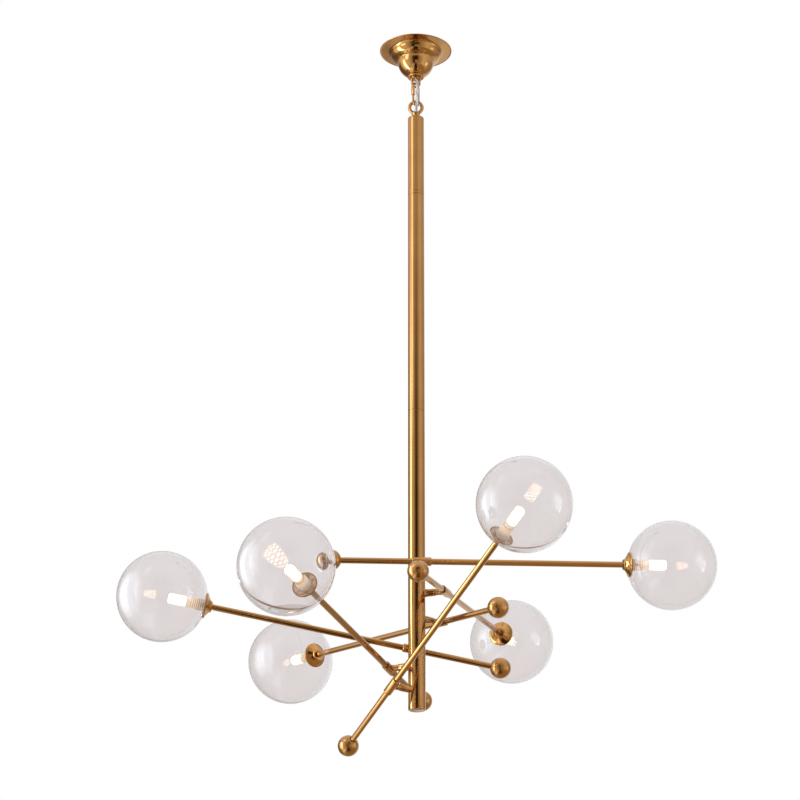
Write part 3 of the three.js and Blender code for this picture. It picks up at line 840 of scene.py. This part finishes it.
passing = add("LightPath")
open_glass = add("BsdfTransparent", Color=(0.93, 0.915, 0.915, 1))
shown = clear_glass.node_tree.nodes["Principled BSDF"].outputs[0]
for ray in ("Is Shadow Ray", "Is Diffuse Ray"):
    shown = add("MixShader", i0=passing.outputs[ray], i1=shown, i2=open_glass.outputs[0]).outputs[0]
painted(clear_glass, shown)
place = add("TexCoord").outputs["Object"]
waves = add("TexNoise", Vector=place, Scale=14.0, Detail=1.0)
seeds = add("TexVoronoi", Vector=place, Scale=70.0)
seed = add("MapRange", Value=seeds.outputs["Distance"], From_Max=0.06, To_Min=1.0, To_Max=0.0)
height = reckon(add, "MULTIPLY_ADD", seed.outputs[0], 0.3, waves.outputs["Fac"])
join(relief(add, height, strength=0.06, depth=0.002), "Normal")
globe_outline = (
    [(0, globe_middle + globe_radius)]
    + round_bend(0, globe_middle, globe_radius, 89, -outer_end, 110)
    + round_bend(0, globe_middle, bore_radius, -inner_end, 89, 110)
    + [(0, globe_middle + bore_radius)]
)
for number in arms:
    globe = turned(f"glass_{number}", globe_outline, clear_glass, 128, axis="X")
    globe.data.flip_normals()
    globe.data.transform(arm_place(number))
    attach(globe, f"arm_{number}")
    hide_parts(f"globe_{number}")

# Floor
# A plain pale studio floor in matt paint, 1.2 m below the foot of the column. It keeps the soft
# shadow of the object.
floor_paint, add, join = new_finish("floor_paint", (0.82, 0.82, 0.82), Roughness=0.7)
grain = add("TexNoise", Vector=add("TexCoord").outputs["Object"], Scale=3.0)
floor_tones = ((0.3, (0.80, 0.80, 0.80)), (0.7, (0.84, 0.84, 0.84)))
join(colour_band(add, grain.outputs["Fac"], *floor_tones), "Base Color")
bpy.ops.mesh.primitive_plane_add(size=40, location=(0, 0, -2.45))
floor = bpy.context.object
floor.name = "floor"
floor.data.materials.append(floor_paint)

# Studio
# A white room with two soft lamps. Brass and glass also show a round wall, bright and dark by
# turns, a tall soft box on the left, a small one with a grid on the right, wide glares that only
# the globes catch, and dim cards in front of the object and on the floor.
world = bpy.data.worlds.new("white_room")
bpy.context.scene.world = world
world.use_nodes = True
add = node_adder(world.node_tree)
path = add("LightPath").outputs
sight = reckon(add, "ADD", path["Is Camera Ray"], path["Is Glossy Ray"])
clamped_sum = {"operation": "ADD", "use_clamp": True}
seen = add("Math", clamped_sum, i0=sight, i1=path["Is Transmission Ray"])
room_light = world.node_tree.nodes["Background"]
room_light.inputs["Color"].default_value = (1, 1, 1, 1)
room_light.inputs["Strength"].default_value = 0.75
white = add("Background", Color=(1, 1, 1, 1), Strength=1.0)
mixed = add("MixShader", i0=seen.outputs[0], i1=room_light.outputs[0], i2=white.outputs[0])
world.node_tree.links.new(mixed.outputs[0], world.node_tree.nodes["World Output"].inputs["Surface"])


def shown_in_gloss_only(piece):
    """Light shapes show in brass and glass, and neither light the room nor stand in the picture."""
    piece.visible_camera = piece.visible_diffuse = False
    piece.visible_transmission = piece.visible_shadow = False


def light_paint(name):
    """An empty material for a light shape, with a way to add nodes to it."""
    paint = bpy.data.materials.new(name)
    paint.use_nodes = True
    paint.node_tree.nodes.remove(paint.node_tree.nodes["Principled BSDF"])
    return paint, node_adder(paint.node_tree)


def turned_to(aim, place, forward):
    """The rotation that points the forward side of a thing at its aim."""
    return (Vector(aim) - Vector(place)).to_track_quat(forward, "Y").to_euler()


def light_card(name, place, width, height, glow, edges, aim, tint=(1, 1, 1), in_glass=None, grid=0):
    """A card with soft edges that faces its aim. Clear glass may show it at a strength of its own,
    and a card with no glow shows in the glass alone. A grid parts it into small squares."""
    paint, add = light_paint(name)
    across = add("SeparateXYZ", Vector=add("TexCoord").outputs["Object"])
    masks = []
    for axis, half, edge in zip("XY", (width / 2, height / 2), edges):
        far = reckon(add, "ABSOLUTE", across.outputs[axis])
        edge_start = half * (1 - edge)
        masks.append(soft_step(add, far, start=edge_start, end=half, before=1.0, after=0.0))
        if grid:
            cell = reckon(add, "PINGPONG", across.outputs[axis], grid / 2)
            masks.append(reckon(add, "GREATER_THAN", cell, grid * 0.12))
    in_clear_glass = add("LightPath").outputs["Is Singular Ray"]
    if not glow:
        masks.append(in_clear_glass)
    mask = masks[0]
    for more in masks[1:]:
        mask = reckon(add, "MULTIPLY", mask, more)
    glare = add("MapRange", Value=in_clear_glass, To_Min=glow, To_Max=in_glass or glow)
    light = add("Emission", Color=(*tint, 1), Strength=glare.outputs[0])
    both = add("MixShader", i0=mask, i1=add("BsdfTransparent").outputs[0], i2=light.outputs[0])
    painted(paint, both.outputs[0])
    x, y = width / 2, height / 2
    card = new_piece(name, [(-x, -y, 0), (x, -y, 0), (x, y, 0), (-x, y, 0)], [(0, 1, 2, 3)], paint)
    card.location = place
    card.rotation_euler = turned_to(aim, place, "Z")
    shown_in_gloss_only(card)


def studio_wall():
    """A round wall three metres off, bright and warm dark by turns, and evener higher up."""
    radius, sides, low_end, high_end = 3.2, 96, -2.44, 2.6
    brightest = 2.0
    paint, add = light_paint("wall_light")
    place = add("SeparateXYZ", Vector=add("TexCoord").outputs["Object"])
    front = reckon(add, "MULTIPLY", place.outputs["Y"], -1.0)
    turn = reckon(add, "ARCTAN2", place.outputs["X"], front)
    share = add("MapRange", Value=turn, From_Min=-math.pi, From_Max=math.pi)
    low = (
        (-180, 0.6), (-160, 0.3), (-140, 0.15), (-117, 0.3), (-106, 1.25), (-90, 1.0), (-72, 1.0),
        (-50, 0.9), (-28, 0.5), (-15, 0.05), (10, 0.03), (22, 0.45), (34, 0.6), (52, 0.95),
        (78, 0.75), (110, 0.5), (130, 0.38), (145, 0.8), (162, 0.95), (180, 0.7),
    )
    high = (
        (-180, 0.7), (-145, 0.5), (-125, 0.8), (-108, 1.0), (-90, 1.05), (-65, 0.95), (-40, 0.85),
        (-15, 0.72), (10, 0.62), (35, 0.88), (60, 0.9), (110, 0.65), (150, 0.7), (180, 0.7),
    )
    rows = []
    for row in (low, high):
        stops = []
        for angle, strength in row:
            s, cool = strength / brightest, min(1, strength / 0.7)
            stops.append(((angle + 180) / 360, (s, s * (0.76 + 0.24 * cool), s * (0.5 + 0.5 * cool))))
        rows.append(colour_band(add, share.outputs[0], *stops))
    rise = soft_step(add, place.outputs["Z"], start=0.2, end=1.5, before=0.0, after=1.0)
    tone = add("Mix", {"data_type": "RGBA"}, i0=rise, i6=rows[0], i7=rows[1])
    painted(paint, add("Emission", Color=tone.outputs[2], Strength=brightest).outputs[0])
    corners = [
        (radius * math.cos(2 * math.pi * s / sides), radius * math.sin(2 * math.pi * s / sides), z)
        for z in (low_end, high_end) for s in range(sides)
    ]
    faces = [(s, (s + 1) % sides, sides + (s + 1) % sides, sides + s) for s in range(sides)]
    shown_in_gloss_only(new_piece("studio_wall", corners, faces, paint))


def soft_lamp(name, place, size, watts, aim=(0, 0, -0.8)):
    """An area lamp for the matt surfaces; gloss shows the cards instead."""
    lamp = bpy.data.objects.new(name, bpy.data.lights.new(name, "AREA"))
    lamp.data.shape = "SQUARE"
    lamp.data.size = size
    lamp.data.energy = watts
    lamp.location = place
    lamp.rotation_euler = turned_to(aim, place, "-Z")
    lamp.visible_glossy = lamp.visible_camera = lamp.visible_transmission = False
    bpy.context.scene.collection.objects.link(lamp)


studio_wall()
light_card("left_box", (-1.33, -0.2, -0.95), 0.55, 2.8, glow=11, edges=(0.7, 0.95),
           aim=(0, 0, -0.95), tint=(0.74, 0.87, 1), in_glass=4.5)
light_card("upper_box", (-1.2, -0.8, 0.35), 0.7, 1.2, glow=3.2, edges=(0.5, 0.5),
           aim=(0, 0, -0.3), tint=(0.85, 0.93, 1), in_glass=2)
light_card("left_glare", (-1.6, -0.1, -0.9), 2.6, 2.2, glow=0, edges=(0.9, 0.9),
           aim=(0, -0.1, -0.9), tint=(0.85, 0.92, 1), in_glass=8)
light_card("right_glare", (2.1, -0.7, -0.85), 1.5, 1.5, glow=0, edges=(0.9, 0.9),
           aim=(0, -0.2, -0.9), tint=(0.9, 0.94, 1), in_glass=4)
light_card("right_box", (2.95, -0.5, -1.1), 0.85, 1.1, glow=2.5, edges=(0.15, 0.15),
           aim=(0, 0, -0.9), in_glass=7, grid=0.085)
light_card("dim_floor", (1.1, -0.3, -2.434), 3.8, 5.6, glow=0.45, edges=(0.2, 0.2),
           aim=(1.1, -0.3, 0), tint=(1, 0.76, 0.48))
light_card("back_floor", (-1.9, 1.6, -2.434), 2.3, 2.0, glow=0.32, edges=(0.3, 0.3),
           aim=(-1.9, 1.6, 0), tint=(1, 0.76, 0.48))
light_card("left_floor", (-1.1, -0.2, -2.42), 0.9, 1.6, glow=1.9, edges=(0.5, 0.5),
           aim=(-1.1, -0.2, 0), tint=(0.88, 0.94, 1))
light_card("low_front", (0.4, -2.95, -1.5), 1.6, 1.6, glow=0.45, edges=(0.3, 0.3),
           aim=(0, 0, -1.2), tint=(1, 0.82, 0.56))
light_card("dark_runner", (0, -2.0, -2.43), 1.0, 4.0, glow=0.03, edges=(0.3, 0.2),
           aim=(0, -2.0, 0))
soft_lamp("key_lamp", (-2.2, -1.6, 0.4), 1.2, 18)
soft_lamp("fill_lamp", (2.6, -1.8, 0.2), 1.6, 10)
